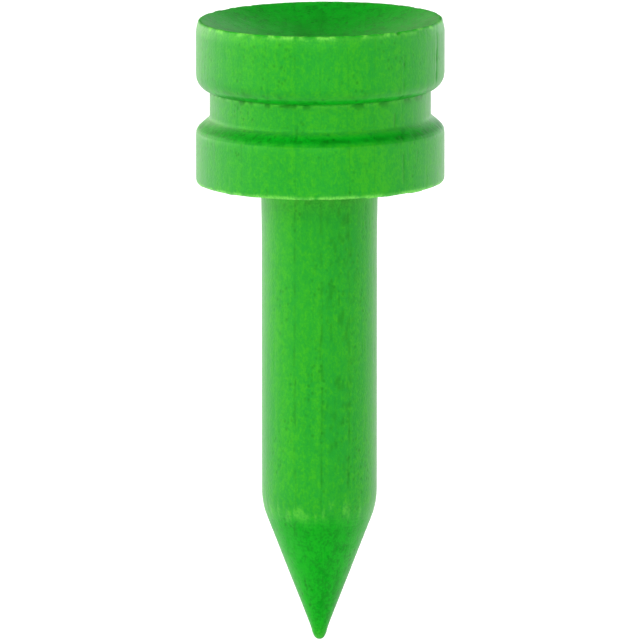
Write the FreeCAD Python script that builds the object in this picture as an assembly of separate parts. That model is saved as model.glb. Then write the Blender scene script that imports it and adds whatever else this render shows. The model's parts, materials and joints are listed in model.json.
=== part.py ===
"""Short wooden golf tee with a grooved drum head, turned from one piece of hardwood.

The tee is a single solid of revolution. From the top down it has a shallow dish for the ball, a
narrow rim, an upper band, a groove that runs round the head, a lower band, a flat underside that
stops against the turf, a plain round shank, and a conical point with a blunted tip.

Frame: millimetres, +Z up along the tee's axis. The origin is on the axis, in the plane of the
head's underside, so everything above z = 0 stands clear of the ground when the tee is in use.
"""

import FreeCAD
import Part
import math
import os

# Driving dimensions.
STOCK_DIAMETER = 12.7  # half-inch dowel, which the two bands of the head keep as their size
OVERALL_LENGTH = 32.15
HEAD_HEIGHT = 8.35
SHANK_DIAMETER = 5.9

# Ball dish and rim.
DISH_DEPTH = 1.3
RIM_DIAMETER = 12.45  # the circle that the ball rests on, just inside the band
RIM_LAND = 0.14  # width of the flat on top of the rim
RIM_TAPER_HEIGHT = 0.5  # the upper band draws in to the rim over this height
RIM_TAPER_ROUND = 1.5
RIM_EDGE_ROUND = 0.08

# Groove round the head. Heights are above the underside.
GROOVE_DIAMETER = 11.3
GROOVE_FLOOR_TOP = 4.75
GROOVE_FLOOR_BOTTOM = 3.35
UPPER_BAND_BOTTOM = 4.95
LOWER_BAND_TOP = 2.75
UPPER_BAND_ROUND = 0.85
LOWER_BAND_ROUND = 0.45
GROOVE_TOP_ROUND = 0.05
GROOVE_BOTTOM_ROUND = 0.3

# Underside, shank and point.
UNDERSIDE_EDGE_ROUND = 0.25
SHANK_ROOT_ROUND = 0.12
POINT_HALF_ANGLE = 21.2  # degrees
POINT_SHOULDER_ROUND = 4.0
TIP_RADIUS = 0.27

HEAD_RADIUS = STOCK_DIAMETER / 2
RIM_RADIUS = RIM_DIAMETER / 2
GROOVE_RADIUS = GROOVE_DIAMETER / 2
SHANK_RADIUS = SHANK_DIAMETER / 2


def point(radius, height):
    """A point of the outline, which lies in the plane through the axis and +X."""
    return FreeCAD.Vector(radius, 0, height)


def corner_arc(before, corner, after, radius):
    """The arc that rounds a corner between two straight runs, tangent to both."""
    back = (before - corner).normalize()
    onward = (after - corner).normalize()
    half_angle = back.getAngle(onward) / 2
    setback = radius / math.tan(half_angle)
    centre = corner + (back + onward).normalize() * (radius / math.sin(half_angle))
    middle = centre + (corner - centre).normalize() * radius
    return Part.Arc(corner + back * setback, middle, corner + onward * setback)


def dish():
    """The dish's arc, from its lowest point on the axis out to the rim's land."""
    edge_radius = RIM_RADIUS - RIM_LAND
    sphere_radius = (edge_radius**2 + DISH_DEPTH**2) / (2 * DISH_DEPTH)
    half_way = math.asin(edge_radius / sphere_radius) / 2
    bottom = HEAD_HEIGHT - DISH_DEPTH
    middle = point(
        sphere_radius * math.sin(half_way),
        bottom + sphere_radius * (1 - math.cos(half_way)),
    )
    return Part.Arc(point(0, bottom), middle, point(edge_radius, HEAD_HEIGHT))


def tip():
    """The arc of the blunted tip, from the cone down to the axis."""
    slope = math.radians(POINT_HALF_ANGLE)
    centre_height = HEAD_HEIGHT - OVERALL_LENGTH + TIP_RADIUS

    def on_ball(angle):
        return point(
            TIP_RADIUS * math.cos(angle), centre_height - TIP_RADIUS * math.sin(angle)
        )

    return Part.Arc(
        on_ball(slope), on_ball((slope + math.pi / 2) / 2), on_ball(math.pi / 2)
    )


def shoulder_height():
    """Where the shank's cylinder and the point's cone would meet with no rounding."""
    slope = math.radians(POINT_HALF_ANGLE)
    apex = HEAD_HEIGHT - OVERALL_LENGTH + TIP_RADIUS - TIP_RADIUS / math.sin(slope)
    return apex + SHANK_RADIUS / math.tan(slope)


def outer_corners():
    """The outline's corners from the rim down to the point's shoulder, each with its rounding."""
    return [
        (point(RIM_RADIUS, HEAD_HEIGHT), RIM_EDGE_ROUND),
        (point(HEAD_RADIUS, HEAD_HEIGHT - RIM_TAPER_HEIGHT), RIM_TAPER_ROUND),
        (point(HEAD_RADIUS, UPPER_BAND_BOTTOM), UPPER_BAND_ROUND),
        (point(GROOVE_RADIUS, GROOVE_FLOOR_TOP), GROOVE_TOP_ROUND),
        (point(GROOVE_RADIUS, GROOVE_FLOOR_BOTTOM), GROOVE_BOTTOM_ROUND),
        (point(HEAD_RADIUS, LOWER_BAND_TOP), LOWER_BAND_ROUND),
        (point(HEAD_RADIUS, 0), UNDERSIDE_EDGE_ROUND),
        (point(SHANK_RADIUS, 0), SHANK_ROOT_ROUND),
        (point(SHANK_RADIUS, shoulder_height()), POINT_SHOULDER_ROUND),
    ]


def outline():
    """The closed half section: the dish, the rounded outer side, the tip and the axis."""
    first, last = dish(), tip()
    corners = outer_corners()
    places = (
        [first.EndPoint] + [corner for corner, _ in corners] + [last.StartPoint]
    )
    edges = [first]
    here = first.EndPoint
    for number, (corner, radius) in enumerate(corners, start=1):
        arc = corner_arc(places[number - 1], corner, places[number + 1], radius)
        edges.append(Part.LineSegment(here, arc.StartPoint))
        edges.append(arc)
        here = arc.EndPoint
    edges.append(Part.LineSegment(here, last.StartPoint))
    edges.append(last)
    edges.append(Part.LineSegment(last.EndPoint, first.StartPoint))
    return Part.Wire([edge.toShape() for edge in edges])


def tee():
    """The whole tee, which is one piece of wood."""
    axis_point, axis_direction = FreeCAD.Vector(0, 0, 0), FreeCAD.Vector(0, 0, 1)
    turned = Part.Face(outline()).revolve(axis_point, axis_direction, 360)
    return turned if turned.Volume > 0 else turned.reversed()


def main():
    os.makedirs("parts", exist_ok=True)
    shape = tee()
    shape.exportStep("parts/tee.step")
    box = shape.BoundBox
    print(
        f"tee: {shape.ShapeType}, valid {shape.isValid()}, {shape.Volume:.1f} mm3, "
        f"z {box.ZMin:.3f} to {box.ZMax:.3f}, shoulder at z {shoulder_height():.3f}"
    )


main()
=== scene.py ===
"""A short wooden golf tee, turned from one piece of hardwood and dyed green.

The tee is one closed mesh: rings of points along the turned outline, moved by what the lathe, the
grain and wear did to the wood. It stands for the CAD node tee. Sizes are in millimetres, and the
mesh, the lights and the camera are made in metres.
"""

import json
import math

import bpy
import numpy as np
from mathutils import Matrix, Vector


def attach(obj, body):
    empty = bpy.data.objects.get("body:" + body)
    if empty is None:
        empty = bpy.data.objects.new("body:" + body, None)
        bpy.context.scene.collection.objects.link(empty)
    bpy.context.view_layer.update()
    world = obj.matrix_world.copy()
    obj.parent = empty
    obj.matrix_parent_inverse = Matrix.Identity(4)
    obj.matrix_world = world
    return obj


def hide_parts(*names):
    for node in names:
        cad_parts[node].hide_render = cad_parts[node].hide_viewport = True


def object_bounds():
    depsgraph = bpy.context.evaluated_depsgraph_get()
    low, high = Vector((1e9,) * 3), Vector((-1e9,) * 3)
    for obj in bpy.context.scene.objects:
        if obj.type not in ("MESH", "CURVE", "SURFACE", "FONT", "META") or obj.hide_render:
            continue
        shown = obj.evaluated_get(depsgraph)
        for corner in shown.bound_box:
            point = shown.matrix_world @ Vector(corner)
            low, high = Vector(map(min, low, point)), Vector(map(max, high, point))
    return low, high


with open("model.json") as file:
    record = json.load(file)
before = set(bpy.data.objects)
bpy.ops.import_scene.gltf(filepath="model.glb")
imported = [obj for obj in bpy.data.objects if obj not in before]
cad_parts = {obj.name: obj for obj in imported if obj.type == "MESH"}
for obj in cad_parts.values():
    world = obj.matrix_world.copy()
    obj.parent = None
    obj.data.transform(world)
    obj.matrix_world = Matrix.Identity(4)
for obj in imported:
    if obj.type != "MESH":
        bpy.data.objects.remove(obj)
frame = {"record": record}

MM = 0.001
CAD_LOW, CAD_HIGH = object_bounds()
MOUNTS = {mount["name"]: mount for mount in frame["record"]["mounts"]}

# Sizes of the turned outline. What the frame doesn't give is measured from the head's underside.
HEAD_RADIUS = CAD_HIGH.x / MM
HEAD_HEIGHT = CAD_HIGH.z / MM
TIP_HEIGHT = CAD_LOW.z / MM
SHANK_RADIUS = MOUNTS["shank"]["dims"]["r_mm"]
RIM_RADIUS = MOUNTS["ball_rim"]["dims"]["r_mm"]
RIM_LAND = 0.14
RIM_TAPER_HEIGHT = 0.5
DISH_DEPTH = 1.3
GROOVE_RADIUS = 5.65
GROOVE_FLOOR_TOP = 4.75
GROOVE_FLOOR_BOTTOM = 3.35
UPPER_BAND_BOTTOM = 4.95
LOWER_BAND_TOP = 2.75
POINT_HALF_ANGLE = math.radians(21.2)
TIP_RADIUS = 0.27

# Roundings of the outline's corners, from the rim down.
RIM_EDGE_ROUND = 0.1
RIM_TAPER_ROUND = 1.5
UPPER_BAND_ROUND = 0.85
GROOVE_TOP_ROUND = 0.06
GROOVE_BOTTOM_ROUND = 0.3
LOWER_BAND_ROUND = 0.45
UNDERSIDE_EDGE_ROUND = 0.22
SHANK_ROOT_ROUND = 0.12
POINT_SHOULDER_ROUND = 4.0

# How far the head leans towards -X and is shifted towards +X on the shank.
HEAD_LEAN = math.radians(0.5)
HEAD_SHIFT = 0.045

# Where single marks are, as bearings from the front.
NICK_BEARING = math.radians(39)
BURR_GAP_BEARING = math.radians(-2)
SIDE_SPECKS_BEARING = math.radians(20)
SHANK_LINE_DEGREES = (-25, 2, 30, 97, 140, 205, 262)

# Spacings of the tool's rings, how far a crack strays from straight, and how soft its ends are.
DISH_RING_SPACING = 0.5
POINT_RING_SPACING = 0.42
CRACK_WANDER = 0.06
CRACK_FADE = 0.25

# How finely the dish's arc, the tip's arc and each rounded corner are sampled.
DISH_SAMPLES = 60
TIP_SAMPLES = 20
CORNER_SAMPLES = 16

# How finely the outline is cut into rings, and each ring into columns.
COLUMNS = 608
FINE_STEP = 0.05
COARSE_STEP = 0.23
STEP_GROWTH = 0.16

# A ring inside this radius uses every 2nd column, inside half of it every 4th, and so on.
THINNING_RADIUS = 0.7 * HEAD_RADIUS
MOST_THINNING = 16

# Large primes that mix a place and a seed into one random-looking number.
PLACE_PRIMES = (374761393, 668265263, 1440662683)
SEED_PRIME = 982451653
MIXING_PRIME = 1274126177


# --- noise ---------------------------------------------------------------------------------------


def lattice(x, y, z, seed):
    """Repeatable random numbers from -1 to 1, one for each whole-number place."""
    of_x, of_y, of_z = PLACE_PRIMES
    mixed = (x * of_x + y * of_y + z * of_z + seed * SEED_PRIME) & 0xFFFFFFFF
    mixed = ((mixed ^ (mixed >> 13)) * MIXING_PRIME) & 0xFFFFFFFF
    return ((mixed ^ (mixed >> 16)) & 0xFFFFFF) / 0x7FFFFF - 1


def noise(places, scale, seed):
    """Smooth noise from about -1 to 1.

    scale is in waves per millimetre along X, Y and Z. Each mark has a seed of its own.
    """
    scaled = places * np.array(scale)
    cell = np.floor(scaled).astype(np.int64)
    part = scaled - cell
    part = part * part * (3 - 2 * part)
    total = 0
    for dx in (0, 1):
        for dy in (0, 1):
            for dz in (0, 1):
                weight = (
                    np.where(dx, part[..., 0], 1 - part[..., 0])
                    * np.where(dy, part[..., 1], 1 - part[..., 1])
                    * np.where(dz, part[..., 2], 1 - part[..., 2])
                )
                total = total + weight * lattice(
                    cell[..., 0] + dx, cell[..., 1] + dy, cell[..., 2] + dz, seed
                )
    return total


def fractal(places, scale, seed, octaves=3):
    """Noise with finer noise added, each octave half as long and half as strong."""
    scale = np.array(scale, float)
    total = sum(noise(places, scale * 2**n, seed + n) / 2**n for n in range(octaves))
    return total / (2 - 0.5 ** (octaves - 1))


def ramp(values, low, high):
    """0 below low and 1 above high, with a smooth rise between them."""
    part = np.clip((values - low) / (high - low), 0, 1)
    return part * part * (3 - 2 * part)


def bell(distance, width):
    """1 at a distance of 0, fading out over the width."""
    return np.exp(-((distance / width) ** 2))


# --- the turned outline --------------------------------------------------------------------------


def rounded_corner(before, corner, after, radius):
    """Points along the arc that rounds a corner between two straight runs."""
    before, corner, after = np.array(before), np.array(corner), np.array(after)
    back = (before - corner) / np.linalg.norm(before - corner)
    onward = (after - corner) / np.linalg.norm(after - corner)
    half_angle = math.acos(np.clip(back @ onward, -1, 1)) / 2
    middle = (back + onward) / np.linalg.norm(back + onward)
    centre = corner + middle * radius / math.sin(half_angle)
    start = corner + back * radius / math.tan(half_angle) - centre
    end = corner + onward * radius / math.tan(half_angle) - centre
    share = np.linspace(0, 1, CORNER_SAMPLES)[:, None]
    turn = math.pi - 2 * half_angle
    swept = np.sin((1 - share) * turn) * start + np.sin(share * turn) * end
    return centre + swept / math.sin(turn)


def outline_corners():
    """Each corner of the outer side, from the rim down: name, radius, height, rounding."""
    tip_centre = TIP_HEIGHT + TIP_RADIUS
    apex = tip_centre - TIP_RADIUS / math.sin(POINT_HALF_ANGLE)
    shoulder = apex + SHANK_RADIUS / math.tan(POINT_HALF_ANGLE)
    return [
        ("rim", RIM_RADIUS, HEAD_HEIGHT, RIM_EDGE_ROUND),
        ("taper", HEAD_RADIUS, HEAD_HEIGHT - RIM_TAPER_HEIGHT, RIM_TAPER_ROUND),
        ("upper_round", HEAD_RADIUS, UPPER_BAND_BOTTOM, UPPER_BAND_ROUND),
        ("groove_top", GROOVE_RADIUS, GROOVE_FLOOR_TOP, GROOVE_TOP_ROUND),
        ("groove_bottom", GROOVE_RADIUS, GROOVE_FLOOR_BOTTOM, GROOVE_BOTTOM_ROUND),
        ("lower_round", HEAD_RADIUS, LOWER_BAND_TOP, LOWER_BAND_ROUND),
        ("bottom_edge", HEAD_RADIUS, 0.0, UNDERSIDE_EDGE_ROUND),
        ("root", SHANK_RADIUS, 0.0, SHANK_ROOT_ROUND),
        ("shoulder", SHANK_RADIUS, shoulder, POINT_SHOULDER_ROUND),
    ]


def dish_arc():
    """Points (radius, height) of the dish, from its middle out to the rim's land."""
    edge = RIM_RADIUS - RIM_LAND
    dish_radius = (edge**2 + DISH_DEPTH**2) / (2 * DISH_DEPTH)
    swing = np.linspace(0, math.asin(edge / dish_radius), DISH_SAMPLES)
    height = HEAD_HEIGHT - DISH_DEPTH + dish_radius * (1 - np.cos(swing))
    return np.stack([dish_radius * np.sin(swing), height], axis=1)


def tip_arc():
    """Points (radius, height) of the blunted tip, from the cone down to the axis."""
    turn = np.linspace(POINT_HALF_ANGLE, math.pi / 2, TIP_SAMPLES)
    height = TIP_HEIGHT + TIP_RADIUS * (1 - np.sin(turn))
    return np.stack([TIP_RADIUS * np.cos(turn), height], axis=1)


def outline():
    """The whole outer side, from the dish's middle to the tip.

    It gives closely spaced points (radius, height), their distances along the outline, and how far
    along it each corner is.
    """
    dish, tip = dish_arc(), tip_arc()
    corners = outline_corners()
    places = [dish[-1]] + [(radius, height) for _, radius, height, _ in corners] + [tip[0]]
    stretches, middles = [dish], {}
    for number, (name, _, _, rounding) in enumerate(corners, start=1):
        arc = rounded_corner(places[number - 1], places[number], places[number + 1], rounding)
        stretches.append(arc)
        middles[name] = arc[len(arc) // 2]
    stretches.append(tip)
    points = np.vstack(stretches)
    along = np.concatenate([[0], np.cumsum(np.linalg.norm(np.diff(points, axis=0), axis=1))])
    stations = {
        name: along[np.linalg.norm(points - middle, axis=1).argmin()]
        for name, middle in middles.items()
    }
    return points, along, stations


def ring_places(along_end, stations):
    """Distances along the outline at which rings stand, closer together beside the edges."""
    busy = [stations[n] for n in ("rim", "groove_top", "groove_bottom", "bottom_edge", "root")]
    busy.append(along_end)
    here, places = 0.0, []
    while here < along_end:
        places.append(here)
        gap = min(abs(here - place) for place in busy)
        here += min(FINE_STEP + STEP_GROWTH * gap, COARSE_STEP)
    return np.array(places)


# --- what the lathe, the grain and wear did to the surface, and painted light and shade -----------


class Surface:
    """The tee's skin as a grid of rings and columns.

    Bearings start at the front, -Y, and grow towards +X.
    """

    def __init__(self):
        points, along, self.stations = outline()
        self.along = ring_places(along[-1], self.stations)
        self.radius = np.interp(self.along, along, points[:, 0])
        self.height = np.interp(self.along, along, points[:, 1])
        step_out = np.gradient(self.radius, self.along)
        step_up = np.gradient(self.height, self.along)
        length = np.hypot(step_out, step_up)
        self.normal_out, self.normal_up = -step_up / length, step_out / length
        self.bearing = np.arange(COLUMNS) * 2 * math.pi / COLUMNS
        self.base = self.places(self.radius[:, None], self.height[:, None])
        shape = self.base.shape[:2]
        self.outward = np.zeros(shape)  # moved along the outline's normal
        self.rise = np.zeros(shape)  # moved along +Z
        self.wear_and_painted_light = np.zeros(shape)  # pale, where the dye is rubbed or broken away, and painted light that lifts shade
        self.stain_and_painted_shade = np.zeros(shape)  # dark, where dye has soaked in or dirt has settled, and painted shade
        self.cut = np.zeros(shape)  # 1 where the fibres are cut across, 0 along them; also painted light under the head
        self.dull = np.zeros(shape)  # 1 where the cut wood has no gloss of its own

    def places(self, radius, height):
        """Points in space from radii and heights."""
        around = np.broadcast_to(self.bearing, np.broadcast(radius, self.bearing).shape)
        height = np.broadcast_to(height, around.shape)
        return np.stack(
            [radius * np.sin(around), -radius * np.cos(around), height], axis=-1
        )

    def near(self, name, width, shift=0.0):
        """1 on a corner of the outline, fading out over the width. shift is onwards along it."""
        return bell(self.along - self.stations[name] - shift, width)[:, None]

    def across(self, bearing, wander=0.0):
        """Distance in millimetres round the surface from a bearing."""
        turn = (self.bearing - bearing + math.pi) % (2 * math.pi) - math.pi
        return turn[None, :] * self.radius[:, None] + wander

    def moved(self):
        """The points of the finished skin."""
        radius = self.radius[:, None] + self.normal_out[:, None] * self.outward
        height = self.height[:, None] + self.normal_up[:, None] * self.outward + self.rise
        return self.places(radius, height)


def add_grain(skin):
    """Fibres run along Z, so the sides are faintly ribbed, and the ends are cut across and pitted."""
    skin.cut += ramp(np.abs(skin.normal_up), 0.45, 0.75)[:, None]
    # The groove's lower slope starts as side grain and is fully cut half a millimetre down.
    down_slope = skin.along - skin.stations["groove_bottom"]
    on_slope = ramp(down_slope, -0.3, 0.0) * ramp(-down_slope, -1.3, -1.0)
    skin.cut *= (1 - on_slope * (1 - ramp(down_slope, -0.05, 0.5)))[:, None]
    skin.dull += skin.cut
    ribs = fractal(skin.base, (2.2, 2.2, 0.12), 11)
    furrows = ramp(noise(skin.base, (6.5, 6.5, 1.6), 17), 0.45, 0.85)
    pits = ramp(fractal(skin.base, (1.6, 1.6, 1.6), 23, 2), 0.1, 0.6)
    skin.outward += 0.006 * ribs - 0.008 * furrows * (1 - skin.cut) - 0.008 * pits * skin.cut
    skin.stain_and_painted_shade += 0.12 * furrows * (1 - skin.cut) + 0.2 * pits * skin.cut


def add_rim_wear(skin):
    """The rim is chipped and rubbed pale, in short broken stretches."""
    edge = skin.near("rim", 0.1)
    chips = ramp(fractal(skin.base, (1.6, 1.6, 1.0), 31), 0.12, 0.5)
    splinters = fractal(skin.base, (3.4, 3.4, 2.0), 37)
    skin.rise += edge * (0.012 + 0.008 * splinters - 0.016 * chips)
    skin.outward -= edge * 0.02 * chips
    flecks = ramp(noise(skin.base, (3.2, 3.2, 2.0), 41), 0.0, 0.4)
    rubbed = skin.near("rim", 0.13, 0.03) * (0.05 + 0.85 * flecks)
    skin.wear_and_painted_light += rubbed + 0.08 * skin.near("rim", 0.35, 0.1)
    nick = bell(skin.across(NICK_BEARING), 0.12) * skin.near("rim", 0.14)
    skin.rise -= 0.1 * nick
    skin.stain_and_painted_shade += 0.9 * nick


def add_crack(skin, bearing, top, bottom, width, depth, dark, broken, seed):
    """A crack or grain line down the side, at a bearing in degrees.

    dark is how strongly it takes the dye, and broken is how much of it fades in and out.
    """
    bearing = math.radians(bearing)
    around = np.full_like(skin.height, bearing)
    path = np.stack([np.zeros_like(skin.height), around, skin.height], axis=-1)
    wander = CRACK_WANDER * noise(path, (1, 1, 0.7), seed)[:, None]
    strength = 1 - broken * ramp(noise(path, (1, 1, 3.5), seed + 1), -0.3, 0.3)[:, None]
    below_top = ramp(-skin.height, -top, CRACK_FADE - top)
    above_bottom = ramp(skin.height, bottom, bottom + CRACK_FADE)
    reach = (below_top * above_bottom)[:, None]
    line = bell(skin.across(bearing, wander), width) * strength * reach
    on_side = (skin.normal_out > 0.3)[:, None]
    line = line * on_side
    skin.outward -= depth * line
    skin.stain_and_painted_shade += dark * line


def add_cracks(skin):
    """One open crack in the upper band, and the fainter lines that follow the grain."""
    add_crack(
        skin,
        bearing=68.5,
        top=HEAD_HEIGHT - 0.3,
        bottom=UPPER_BAND_BOTTOM + 0.4,
        width=0.09,
        depth=0.05,
        dark=0.85,
        broken=0.5,
        seed=101,
    )
    add_crack(
        skin,
        bearing=42,
        top=HEAD_HEIGHT,
        bottom=0.4,
        width=0.06,
        depth=0.02,
        dark=0.9,
        broken=0.97,
        seed=103,
    )
    add_crack(
        skin,
        bearing=-12,
        top=GROOVE_FLOOR_TOP,
        bottom=LOWER_BAND_TOP,
        width=0.04,
        depth=0.02,
        dark=0.5,
        broken=0.95,
        seed=107,
    )
    for number, bearing in enumerate(SHANK_LINE_DEGREES):
        add_crack(
            skin,
            bearing=bearing,
            top=-0.3,
            bottom=-15.5,
            width=0.05,
            depth=0.01,
            dark=0.8,
            broken=0.93,
            seed=109 + 2 * number,
        )


def add_groove_tears_and_painted_light(skin):
    """The tool tore the fibres where it turned into the groove, and dye gathered there. Painted light
    and painted shade lie there too.
    """
    tears = ramp(noise(skin.base, (4.0, 4.0, 4.0), 53), 0.2, 0.55)
    blobs = ramp(noise(skin.base, (2.6, 2.6, 1.5), 59), 0.1, 0.6)
    dots = ramp(noise(skin.base, (3.0, 3.0, 3.0), 57), 0.05, 0.35)
    # Dark dots lie under the upper band and on its rounding. Between them the wood is painted paler:
    # painted light that lifts the shade in the corner under the band.
    skin.outward -= skin.near("groove_top", 0.07) * 0.03 * tears
    skin.stain_and_painted_shade += skin.near("groove_top", 0.16, 0.06) * (1.2 * dots + 0.3 * tears * blobs)
    skin.wear_and_painted_light += 0.18 * skin.near("groove_top", 0.12) * (1 - dots)
    skin.stain_and_painted_shade += 0.6 * skin.near("groove_top", 0.2, -0.75) * dots
    # A dark ragged line runs round the lower slope, partly dye gathered in torn fibres and partly
    # painted shade. It is heavier on the +X side, a painted shade where the upper band shades the
    # slope.
    side = np.sin(skin.bearing)[None, :]
    ragged = 0.11 * fractal(skin.base, (2.4, 2.4, 2.4), 61)
    down_slope = skin.along[:, None] - skin.stations["groove_bottom"] - 0.62 - 0.05 * side + ragged
    core = bell(down_slope, 0.23 + 0.05 * side)
    skin.stain_and_painted_shade += core * (0.4 + 0.15 * side + 0.4 * dots + 0.3 * tears)
    skin.outward -= 0.01 * core * tears
    lip = skin.near("lower_round", 0.16, -0.2)
    skin.outward += lip * 0.006 * fractal(skin.base, (2.0, 2.0, 1.0), 63)


def add_bottom_burr(skin):
    """A ragged burr hangs along the head's lower edge, with the dye broken away."""
    burr = fractal(skin.base, (2.0, 2.0, 1.0), 67)
    edge = skin.near("bottom_edge", 0.12, 0.05)
    gap = bell(skin.across(BURR_GAP_BEARING), 0.16)
    skin.rise -= edge * (0.01 + 0.03 * ramp(burr, -0.2, 0.5)) * (1 - gap)
    flecks = ramp(noise(skin.base, (2.4, 2.4, 1.5), 71), -0.3, 0.3)
    skin.wear_and_painted_light += skin.near("bottom_edge", 0.12, 0.02) * (0.5 + 1.2 * flecks) * (1 - gap)


def add_shank_marks(skin):
    """The shank swells a little towards the head, and is specked and rough close under it, where its
    colour is also painted paler and a brighter green: painted light against the head's shadow.
    """
    down = -skin.height[:, None]
    under = (skin.along > skin.stations["root"])[:, None]
    skin.outward += 0.035 * under * ramp(-down, -3.2, 0.0)
    specks = ramp(noise(skin.base, (4.5, 4.5, 3.0), 79), 0.2, 0.5)
    skin.stain_and_painted_shade += 0.8 * under * specks * bell(down, 1.1)
    # Painted light: paler and a brighter green close under the head, against the shadow the head
    # casts.
    skin.wear_and_painted_light += 0.3 * under * bell(down, 0.9)
    skin.cut += 0.7 * under * bell(down, 1.0)
    side = bell(skin.across(SIDE_SPECKS_BEARING), 1.0)
    side = side * ramp(skin.height, -16.0, -13.0)[:, None]
    side_specks = ramp(noise(skin.base, (5.0, 5.0, 3.4), 81), 0.25, 0.65)
    skin.stain_and_painted_shade += 0.8 * under * side * side_specks


def add_point_marks(skin):
    """Torn fibres ring the point's shoulder, fine tool rings follow, and the tip is blunted."""
    shoulder = skin.stations["shoulder"]
    past = ramp(skin.along, shoulder - 0.2, shoulder + 1.0)[:, None]
    skin.dull[:] = np.maximum(skin.dull, 0.75 * past)
    skin.cut += 0.8 * past
    skin.stain_and_painted_shade += 0.2 * past
    wavy = 0.2 * noise(skin.base, (1.2, 1.2, 0.2), 85)
    torn = bell(skin.along[:, None] - shoulder + wavy, 0.4)
    ticks = ramp(noise(skin.base, (5.5, 5.5, 1.3), 83), 0.05, 0.6)
    skin.outward += 0.012 * torn * ticks
    skin.wear_and_painted_light += 0.3 * torn * ticks
    skin.stain_and_painted_shade += 0.12 * skin.near("shoulder", 0.7, 1.1)
    skin.outward += 0.004 * past * np.sin(skin.height * 2 * math.pi / POINT_RING_SPACING)[:, None]
    end = skin.along[-1] - skin.along
    skin.outward += (0.035 * bell(end - 0.42, 0.34))[:, None]
    tip = bell(end, 0.6)[:, None]
    skin.outward += 0.03 * tip * fractal(skin.base, (3.0, 3.0, 2.5), 89)
    skin.wear_and_painted_light += 0.25 * tip


def add_dish_marks(skin):
    """The tool left faint rings in the dish, and dye soaked into its cut fibres in blotches. A
    painted shade darkens a strip through its middle from front to back.
    """
    rim = skin.stations["rim"]
    inside = ramp(-skin.along, 0.4 - rim, 0.9 - rim)[:, None]
    rings = np.sin(skin.radius * 2 * math.pi / DISH_RING_SPACING)[:, None]
    skin.outward += 0.003 * inside * rings
    blotches = ramp(fractal(skin.base, (1.6, 0.5, 1.0), 91), -0.05, 0.35)
    # Painted shade: the dish is darker along a strip through its middle, from front to back.
    middle = bell(skin.base[..., 0], 2.6)
    skin.stain_and_painted_shade += inside * (middle * (0.02 + 0.28 * blotches) + 0.08 * blotches)


def tilted_head(places):
    """The head leans a little on the shank, as the chuck left it."""
    amount = ramp(places[..., 2], -0.6, 0.0)
    out = places.copy()
    out[..., 2] += amount * math.tan(HEAD_LEAN) * places[..., 0]
    out[..., 0] += amount * HEAD_SHIFT
    return out


def tee_skin():
    """The grid of the finished tee, with its marks."""
    skin = Surface()
    add_grain(skin)
    add_dish_marks(skin)
    add_rim_wear(skin)
    add_cracks(skin)
    add_groove_tears_and_painted_light(skin)
    add_bottom_burr(skin)
    add_shank_marks(skin)
    add_point_marks(skin)
    return skin


# --- the mesh ------------------------------------------------------------------------------------


def column_step(radius):
    """How many of the grid's columns lie between neighbouring points of a ring of this radius."""
    step = 1
    while radius < THINNING_RADIUS / step and step < MOST_THINNING:
        step *= 2
    return step


def stretch(ring, column, wide):
    """The points of a ring that border one of wide equal faces round it."""
    share = len(ring) // wide
    return [ring[(column * share + n) % len(ring)] for n in range(share + 1)]


def grid_faces(steps):
    """The point numbers of each ring, the faces that join the rings, and how many points there are.

    One point closes each end. Neighbouring rings may differ in how many points they have.
    """
    rings, count = [], 1
    for step in steps:
        rings.append(np.arange(count, count + COLUMNS // step))
        count += COLUMNS // step
    faces = []
    for upper, lower in zip(rings, rings[1:]):
        wide = min(len(upper), len(lower))
        for column in range(wide):
            faces.append(stretch(upper, column, wide)[::-1] + stretch(lower, column, wide))
    for end, ring, way in ((0, rings[0], 1), (count, rings[-1], -1)):
        for column in range(len(ring)):
            pair = [ring[column], ring[(column + 1) % len(ring)]][::way]
            faces.append([end] + pair)
    return rings, faces, count + 1


def face_finishes(skin, steps):
    """Which finish each face has, from 0 on side grain to the dullest on end grain."""
    ragged = skin.dull + 0.15 * noise(skin.base, (3.0, 3.0, 3.0), 97)
    levels = np.clip(np.floor(ragged * FINISHES), 0, FINISHES - 1).astype(int)
    pairs = enumerate(zip(steps, steps[1:]), start=1)
    faces = [levels[ring, :: max(pair)] for ring, pair in pairs]
    ends = [levels[1, :: steps[0]], levels[-1, :: steps[-1]]]
    return np.concatenate(faces + ends)


def tee_mesh(skin):
    """The tee as one closed mesh, with its wear, stain and cut grain, and its painted light and
    shade, kept on its points.
    """
    whole = tilted_head(skin.moved())
    shown = range(1, len(skin.along))
    steps = [column_step(skin.radius[ring]) for ring in shown]
    rings, faces, count = grid_faces(steps)
    points = np.zeros((count, 3))
    grids = {"wear_and_painted_light": skin.wear_and_painted_light, "stain_and_painted_shade": skin.stain_and_painted_shade, "cut": skin.cut}
    marks = {name: np.full(count, grid[0, 0]) for name, grid in grids.items()}
    for ring, step, numbers in zip(shown, steps, rings):
        points[numbers] = whole[ring, ::step]
        for name, values in marks.items():
            values[numbers] = grids[name][ring, ::step]
    points[0] = 0, 0, whole[0, :, 2].mean()
    points[-1] = 0, 0, TIP_HEIGHT
    mesh = bpy.data.meshes.new("tee_wood")
    mesh.from_pydata((points * MM).tolist(), [], [[int(n) for n in face] for face in faces])
    mesh.validate()
    for name, values in marks.items():
        attribute = mesh.attributes.new(name, "FLOAT", "POINT")
        attribute.data.foreach_set("value", values.clip(0, 1))
    mesh.shade_smooth()
    mesh.polygons.foreach_set("material_index", face_finishes(skin, steps))
    return mesh


# --- the material --------------------------------------------------------------------------------


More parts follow.
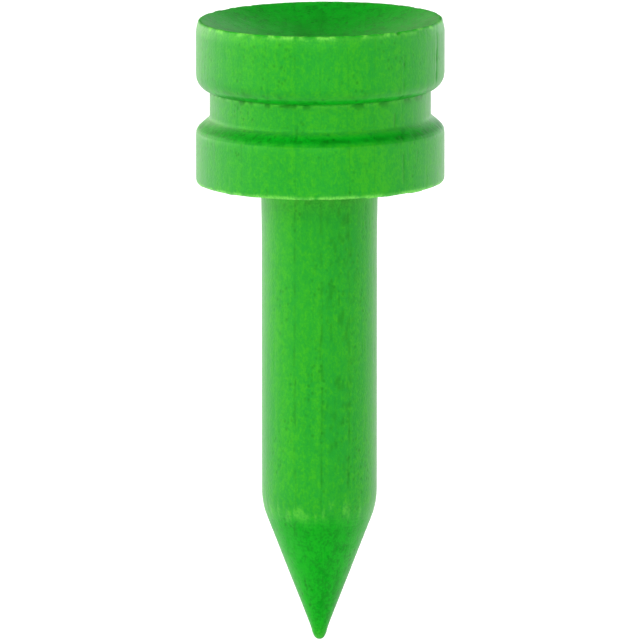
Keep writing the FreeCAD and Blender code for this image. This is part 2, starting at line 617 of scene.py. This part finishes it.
class Nodes:
    """Adds nodes to a tree, each with its inputs set or linked."""

    def __init__(self, tree):
        self.tree = tree
        tree.nodes.clear()

    def add(self, kind, inputs, **settings):
        """A new node. Each input is a value or another node's output."""
        made = self.tree.nodes.new(kind)
        for name, value in settings.items():
            setattr(made, name, value)
        for name, value in inputs.items():
            if isinstance(value, bpy.types.NodeSocket):
                self.tree.links.new(value, made.inputs[name])
            else:
                made.inputs[name].default_value = value
        return made

    def calc(self, operation, first, second=0.0, third=0.0, clamp=False):
        inputs = {0: first, 1: second, 2: third}
        return self.add("ShaderNodeMath", inputs, operation=operation, use_clamp=clamp).outputs[0]

    def add_swing(self, noise, amount, base, clamp=False):
        """The base, raised or lowered as the noise goes above or below its middle of 0.5."""
        centred = self.calc("SUBTRACT", noise, 0.5)
        return self.calc("MULTIPLY_ADD", centred, amount, base, clamp)

    def vector(self, operation, first, second):
        inputs = {0: first, "Scale" if operation == "SCALE" else 1: second}
        return self.add("ShaderNodeVectorMath", inputs, operation=operation).outputs[0]

    def noise(self, places, stretch_by, detail, roughness=0.5):
        places = self.vector("MULTIPLY", places, stretch_by)
        inputs = {"Vector": places, "Scale": 1.0, "Detail": detail, "Roughness": roughness}
        return self.add("ShaderNodeTexNoise", inputs).outputs["Fac"]

    def between(self, value, low, high, to_low=0.0, to_high=1.0):
        """The value, carried from one range to another with a smooth rise."""
        inputs = {"Value": value, 1: low, 2: high, 3: to_low, 4: to_high}
        made = self.add("ShaderNodeMapRange", inputs, interpolation_type="SMOOTHSTEP")
        return made.outputs[0]

    def mix(self, share, first, second):
        inputs = {"Factor": share, 6: first, 7: second}
        return self.add("ShaderNodeMix", inputs, data_type="RGBA").outputs[2]

    def attribute(self, name):
        return self.add("ShaderNodeAttribute", {}, attribute_name=name).outputs["Fac"]


def colour(red, green, blue):
    """An opaque colour, as the nodes take it."""
    return red, green, blue, 1.0


# Colours of the wood, as linear red, green and blue. The dark one also paints shade, and the rubbed
# one and the end grain's also paint light.
DYED = colour(0.007, 0.202, 0.008)
DYED_BLUE = colour(0.002, 0.178, 0.012)
DYED_YELLOW = colour(0.017, 0.232, 0.004)
DYED_DARK_AND_PAINTED_SHADE = colour(0.0, 0.115, 0.002)
DYED_END = colour(0.0, 0.283, 0.006)
RUBBED_AND_PAINTED_LIGHT = colour(0.12, 0.46, 0.055)

# The finish, from glossy side grain to dull end grain.
FINISHES = 5
SIDE_GLOSS, END_GLOSS = 0.68, 0.36
SIDE_TINT, END_TINT = (0.17, 1.0, 0.12), (0.05, 1.0, 0.05)
SIDE_SHEEN, END_SHEEN = 0.07, 0.0

# The growth rings, which are nearly flat sheets in a piece this small.
SHEET_SPACING = 1.36
SHEET_OFFSET = 1.25
SHEET_WOBBLE = 0.35
SHEET_TONES = 55.0  # picks which of the sheets took the dye more deeply


def part_way(first, second, share):
    """A number part of the way from the first to the second."""
    return first + (second - first) * share


def growth_sheets(nodes, places):
    """Each sheet's own depth of dye, and the broken thin line between two sheets."""
    across = nodes.add("ShaderNodeSeparateXYZ", {0: places}).outputs["X"]
    wobble = nodes.noise(places, (0.5, 0.5, 0.06), 1.0)
    across = nodes.add_swing(wobble, SHEET_WOBBLE, across)
    sheets = nodes.calc("DIVIDE", nodes.calc("ADD", across, SHEET_OFFSET), SHEET_SPACING)
    number = nodes.calc("ADD", nodes.calc("FLOOR", sheets), SHEET_TONES)
    tones = nodes.add("ShaderNodeTexWhiteNoise", {"W": number}, noise_dimensions="1D")
    edge = nodes.calc("PINGPONG", sheets, 0.5)
    broken = nodes.between(nodes.noise(places, (4.0, 4.0, 1.1), 2.0), 0.45, 0.62)
    line = nodes.calc("MULTIPLY", nodes.between(edge, 0.005, 0.04, 1.0, 0.0), broken)
    return tones.outputs["Value"], line


def dark_pores(nodes, places):
    """Dark pores, gathered in patches."""
    cells = {"Vector": nodes.vector("MULTIPLY", places, (3.6, 3.6, 3.0)), "Scale": 1.0}
    pores = nodes.add("ShaderNodeTexVoronoi", cells).outputs["Distance"]
    patches = nodes.between(nodes.noise(places, (0.8, 0.8, 0.35), 2.0), 0.46, 0.64)
    return nodes.calc("MULTIPLY", nodes.between(pores, 0.08, 0.42, 1.0, 0.0), patches)


def dyed_wood(finish):
    """Pale, close-grained hardwood with green dye in it: banded, mottled, specked, and worn.

    finish goes from 0, the gloss of side grain, to FINISHES - 1, the dullness of end grain.
    """
    dull = finish / (FINISHES - 1)
    material = bpy.data.materials.new(f"dyed_wood_{finish}")
    material.use_nodes = True
    nodes = Nodes(material.node_tree)
    metres = nodes.add("ShaderNodeTexCoord", {}).outputs["Object"]
    places = nodes.vector("SCALE", metres, 1 / MM)
    wear_and_painted_light, stain_and_painted_shade, cut = (nodes.attribute(mark) for mark in ("wear_and_painted_light", "stain_and_painted_shade", "cut"))

    clouds = nodes.noise(places, (0.45, 0.45, 0.16), 3.0)
    streaks = nodes.noise(places, (2.6, 2.6, 0.12), 3.0)
    mottle = nodes.noise(places, (3.2, 3.2, 2.6), 3.0, 0.65)
    grit = nodes.noise(places, (9.0, 9.0, 7.0), 2.0, 0.6)
    sheet, sheet_line = growth_sheets(nodes, places)
    pores = dark_pores(nodes, places)

    # How deep a green the dye gives, from 0 to 1.
    depth = nodes.add_swing(clouds, 1.2, 0.5)
    depth = nodes.add_swing(streaks, 1.0, depth)
    depth = nodes.add_swing(sheet, 0.2, depth)
    depth = nodes.add_swing(mottle, 1.9, depth)
    depth = nodes.add_swing(grit, 2.0, depth, clamp=True)
    body = nodes.mix(nodes.between(depth, 0.0, 0.55), DYED_BLUE, DYED)
    body = nodes.mix(nodes.between(depth, 0.45, 1.0), body, DYED_YELLOW)
    ends = nodes.mix(nodes.between(depth, -0.4, 0.7), DYED_DARK_AND_PAINTED_SHADE, DYED_END)
    # The end grain's colour, which close under the head also paints light.
    body = nodes.mix(cut, body, ends)

    # Dark lines, pores, stains and painted shade lie over it, and pale rubbed wood and painted light
    # over those.
    dark = nodes.calc("MULTIPLY_ADD", sheet_line, 0.35, nodes.calc("MULTIPLY", pores, 0.7))
    dark = nodes.calc("MULTIPLY_ADD", stain_and_painted_shade, 0.85, dark, clamp=True)
    body = nodes.mix(dark, body, DYED_DARK_AND_PAINTED_SHADE)
    pale = nodes.calc("MULTIPLY", wear_and_painted_light, nodes.between(grit, 0.35, 0.6, 0.5, 1.0), clamp=True)
    body = nodes.mix(pale, body, RUBBED_AND_PAINTED_LIGHT)

    rough = nodes.add_swing(mottle, 0.25, 0.4)
    rough = nodes.calc("MULTIPLY_ADD", cut, 0.05, rough)
    rough = nodes.calc("MULTIPLY_ADD", wear_and_painted_light, 0.15, rough, clamp=True)

    relief = nodes.calc("MULTIPLY_ADD", mottle, 0.6, grit)
    relief = nodes.calc("MULTIPLY_ADD", pores, -0.5, relief)
    bump = nodes.add("ShaderNodeBump", {"Height": relief, "Strength": 1.0, "Distance": 0.01 * MM})

    inputs = {
        "Base Color": body,
        "Roughness": rough,
        "Normal": bump.outputs[0],
        "Specular IOR Level": part_way(SIDE_GLOSS, END_GLOSS, dull),
        "Specular Tint": colour(*(part_way(*pair, dull) for pair in zip(SIDE_TINT, END_TINT))),
        "Sheen Weight": part_way(SIDE_SHEEN, END_SHEEN, dull),
        "Sheen Roughness": 0.5,
    }
    shader = nodes.add("ShaderNodeBsdfPrincipled", inputs)
    nodes.add("ShaderNodeOutputMaterial", {"Surface": shader.outputs[0]})
    return material


def floor_white():
    """A white light table: a pale board that glows evenly, so that it stays white to its far edge."""
    material = bpy.data.materials.new("floor_white")
    material.use_nodes = True
    nodes = Nodes(material.node_tree)
    places = nodes.add("ShaderNodeTexCoord", {}).outputs["Object"]
    shade = nodes.noise(places, (6.0, 6.0, 6.0), 3.0)
    tint = nodes.mix(shade, colour(0.28, 0.28, 0.28), colour(0.32, 0.32, 0.32))
    inputs = {
        "Base Color": tint,
        "Roughness": 0.9,
        "Emission Color": colour(1, 1, 1),
        "Emission Strength": 1.0,
    }
    shader = nodes.add("ShaderNodeBsdfPrincipled", inputs)
    nodes.add("ShaderNodeOutputMaterial", {"Surface": shader.outputs[0]})
    material.cycles.emission_sampling = "NONE"
    return material


# --- the object, the stage, the lights and the camera ---------------------------------------------

# The camera, in degrees above the horizon and metres away, and where it looks, in millimetres.
CAMERA_ELEVATION = 9.0
CAMERA_DISTANCE = 0.7
SIGHT_HEIGHT = -7.21
SIGHT_SIDEWAYS = 0.03

# The lens gives this many pixels to a millimetre of the tee, in an image of this width.
SENSOR = 36.0
IMAGE_PIXELS = 640
PIXELS_PER_MM = 19.58

# The white board, in metres, but for the gap in millimetres between it and the tee's point.
FLOOR_HALF_WIDTH = 1.0
FLOOR_WALL_HEIGHT = 0.075
FLOOR_GAP = 0.02
SKY_BRIGHTNESS = 0.02

WARM = (1.0, 0.94, 0.86)
PLAIN = (1.0, 1.0, 1.0)
COOL = (0.94, 0.98, 1.0)
# Soft lights: name, bearing from the front and elevation in degrees, distance and size in metres,
# brightness and tint.
SOFTBOXES = [
    ("left_back", -150, 8, 0.6, 0.5, 1.3, WARM),
    ("left_rear_side", -115, 12, 0.6, 0.5, 2.8, WARM),
    ("left_side", -80, 12, 0.6, 0.4, 3.0, WARM),
    ("left_front", -50, 12, 0.6, 0.4, 3.5, WARM),
    ("left_high", -60, 50, 0.6, 0.4, 1.1, PLAIN),
    ("front_low", 0, 8, 0.6, 0.4, 3.8, PLAIN),
    ("front_high", 0, 40, 0.6, 0.5, 1.3, PLAIN),
    ("right_front", 50, 12, 0.6, 0.4, 1.75, PLAIN),
    ("right_high", 60, 50, 0.6, 0.4, 0.8, PLAIN),
    ("right_side", 80, 12, 0.6, 0.4, 1.15, COOL),
    ("right_rear_side", 115, 12, 0.6, 0.5, 0.95, COOL),
    ("right_back", 150, 8, 0.6, 0.5, 1.5, COOL),
    ("top", 0, 90, 0.8, 0.6, 1.8, PLAIN),
]


def add_object(name, data):
    made = bpy.data.objects.new(name, data)
    bpy.context.scene.collection.objects.link(made)
    return made


def make_tee():
    tee = add_object("tee_wood", tee_mesh(tee_skin()))
    for finish in range(FINISHES):
        tee.data.materials.append(dyed_wood(finish))
    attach(tee, "root")
    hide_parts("tee")
    return tee


def make_floor():
    """A wide white board just under the tee's point, with a low wall round its far edge."""
    half = FLOOR_HALF_WIDTH
    mesh = bpy.data.meshes.new("floor")
    corners = [(-half, -half, 0), (half, -half, 0), (half, half, 0), (-half, half, 0)]
    corners += [(x, y, FLOOR_WALL_HEIGHT) for x, y, _ in corners]
    walls = [(n, (n + 1) % 4, (n + 1) % 4 + 4, n + 4) for n in range(4)]
    mesh.from_pydata(corners, [], [(0, 1, 2, 3)] + walls)
    floor = add_object("floor", mesh)
    floor.location.z = CAD_LOW.z - FLOOR_GAP * MM
    floor.data.materials.append(floor_white())


def make_softbox(name, bearing, elevation, distance, size, brightness, tint):
    """A square soft light that faces the tee. Its brightness is what the camera would see in it."""
    light = bpy.data.lights.new(name, "AREA")
    light.shape = "SQUARE"
    light.size = size
    light.energy = brightness * math.pi * size**2
    light.color = tint
    lamp = add_object(name, light)
    bearing, elevation = math.radians(bearing), math.radians(elevation)
    flat = math.cos(elevation)
    away = Vector((math.sin(bearing) * flat, -math.cos(bearing) * flat, math.sin(elevation)))
    lamp.location = away * distance
    lamp.rotation_mode = "QUATERNION"
    lamp.rotation_quaternion = away.to_track_quat("Z", "Y")
    lamp.visible_camera = False


def make_lights():
    for softbox in SOFTBOXES:
        make_softbox(*softbox)
    world = bpy.data.worlds.new("studio")
    bpy.context.scene.world = world
    world.use_nodes = True
    nodes = Nodes(world.node_tree)
    inputs = {"Color": colour(1, 1, 1), "Strength": SKY_BRIGHTNESS}
    sky = nodes.add("ShaderNodeBackground", inputs)
    nodes.add("ShaderNodeOutputWorld", {"Surface": sky.outputs[0]})


def make_camera():
    camera = bpy.data.cameras.new("camera")
    camera.sensor_width = SENSOR
    camera.lens = PIXELS_PER_MM * CAMERA_DISTANCE / MM * SENSOR / IMAGE_PIXELS
    camera.clip_start = 0.01
    eye = add_object("camera", camera)
    elevation = math.radians(CAMERA_ELEVATION)
    eye.location = Vector((0, -math.cos(elevation), math.sin(elevation))) * CAMERA_DISTANCE
    eye.location.x = SIGHT_SIDEWAYS * MM
    target = Vector((SIGHT_SIDEWAYS * MM, 0, SIGHT_HEIGHT * MM))
    eye.rotation_mode = "QUATERNION"
    eye.rotation_quaternion = (target - eye.location).to_track_quat("-Z", "Y")
    bpy.context.scene.camera = eye


bpy.context.scene.view_settings.view_transform = "Standard"
make_camera()
make_lights()
make_floor()
make_tee()
